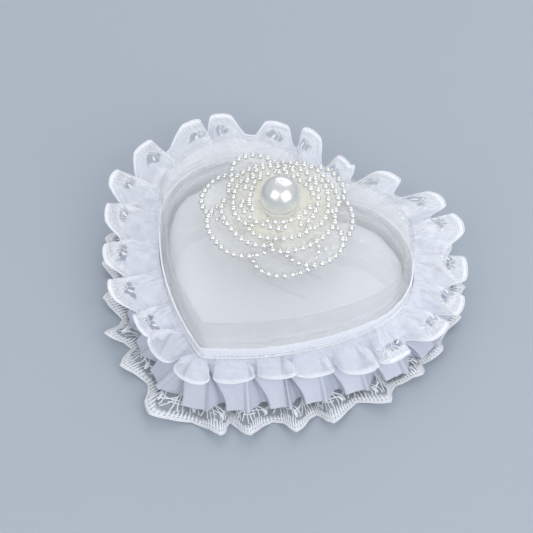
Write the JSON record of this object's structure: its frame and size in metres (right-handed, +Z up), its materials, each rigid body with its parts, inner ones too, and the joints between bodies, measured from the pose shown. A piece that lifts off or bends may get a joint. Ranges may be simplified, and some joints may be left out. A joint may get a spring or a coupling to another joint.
{
  "type": "ring box",
  "caption": "Clear heart-shaped ring box with a lift-off lid, lace and pleated satin ruffles round the tray, a ring cushion inside and a pearl-edged organza rose on top.",
  "frame": {"origin": "middle of the heart's width and length on the plane that the box stands on", "axes": "+Z up, the heart's tip towards -Y, its left and right lobes at -X and +X"},
  "size_m": [0.166, 0.1516, 0.0635],
  "materials": {
    "clear_plastic": "gloss",
    "card": "matte",
    "foam": "matte",
    "cushion_satin": "satin",
    "upper_lace": "sheer",
    "lower_lace": "open lace",
    "satin_ribbon": "satin",
    "tape": "matte",
    "felt": "matte",
    "moulded_white": "matte",
    "big_pearl": "pearl",
    "organza": "sheer",
    "small_pearls": "pearl"
  },
  "bodies": {
    "base": {"cushion_board": "card", "cushion_cover": "cushion_satin", "cushion_foam": "foam", "lower_lace_ruffle": "lower_lace", "lower_lace_tape": "tape", "satin_pleated_ruffle": "satin_ribbon", "satin_tape": "tape", "tray_shell": "clear_plastic", "upper_lace_ruffle": "upper_lace", "upper_lace_tape": "tape"},
    "lid": {"big_pearl": "big_pearl", "flower_backing": "felt", "flower_post": "moulded_white", "lid_shell": "clear_plastic", "pearl_cup": "moulded_white", "pearls_core_1": "small_pearls", "pearls_core_2": "small_pearls", "pearls_core_3": "small_pearls", "pearls_inner_1": "small_pearls", "pearls_inner_2": "small_pearls", "pearls_inner_3": "small_pearls", "pearls_inner_4": "small_pearls", "pearls_middle_1": "small_pearls", "pearls_middle_2": "small_pearls", "pearls_middle_3": "small_pearls", "pearls_middle_4": "small_pearls", "pearls_outer_high_1": "small_pearls", "pearls_outer_high_2": "small_pearls", "pearls_outer_high_3": "small_pearls", "pearls_outer_high_4": "small_pearls", "pearls_outer_low_1": "small_pearls", "pearls_outer_low_2": "small_pearls", "pearls_outer_low_3": "small_pearls", "pearls_outer_low_4": "small_pearls", "pearls_throat_1": "small_pearls", "pearls_throat_2": "small_pearls", "pearls_throat_3": "small_pearls", "petal_core_1": "organza", "petal_core_2": "organza", "petal_core_3": "organza", "petal_inner_1": "organza", "petal_inner_2": "organza", "petal_inner_3": "organza", "petal_inner_4": "organza", "petal_middle_1": "organza", "petal_middle_2": "organza", "petal_middle_3": "organza", "petal_middle_4": "organza", "petal_outer_high_1": "organza", "petal_outer_high_2": "organza", "petal_outer_high_3": "organza", "petal_outer_high_4": "organza", "petal_outer_low_1": "organza", "petal_outer_low_2": "organza", "petal_outer_low_3": "organza", "petal_outer_low_4": "organza", "petal_throat_1": "organza", "petal_throat_2": "organza", "petal_throat_3": "organza"}
  },
  "joints": [
    {"name": "lid_lift", "type": "slide", "parent": "base", "child": "lid", "axis": [0, 0, 1], "range_m": [0, 0.06]}
  ]
}
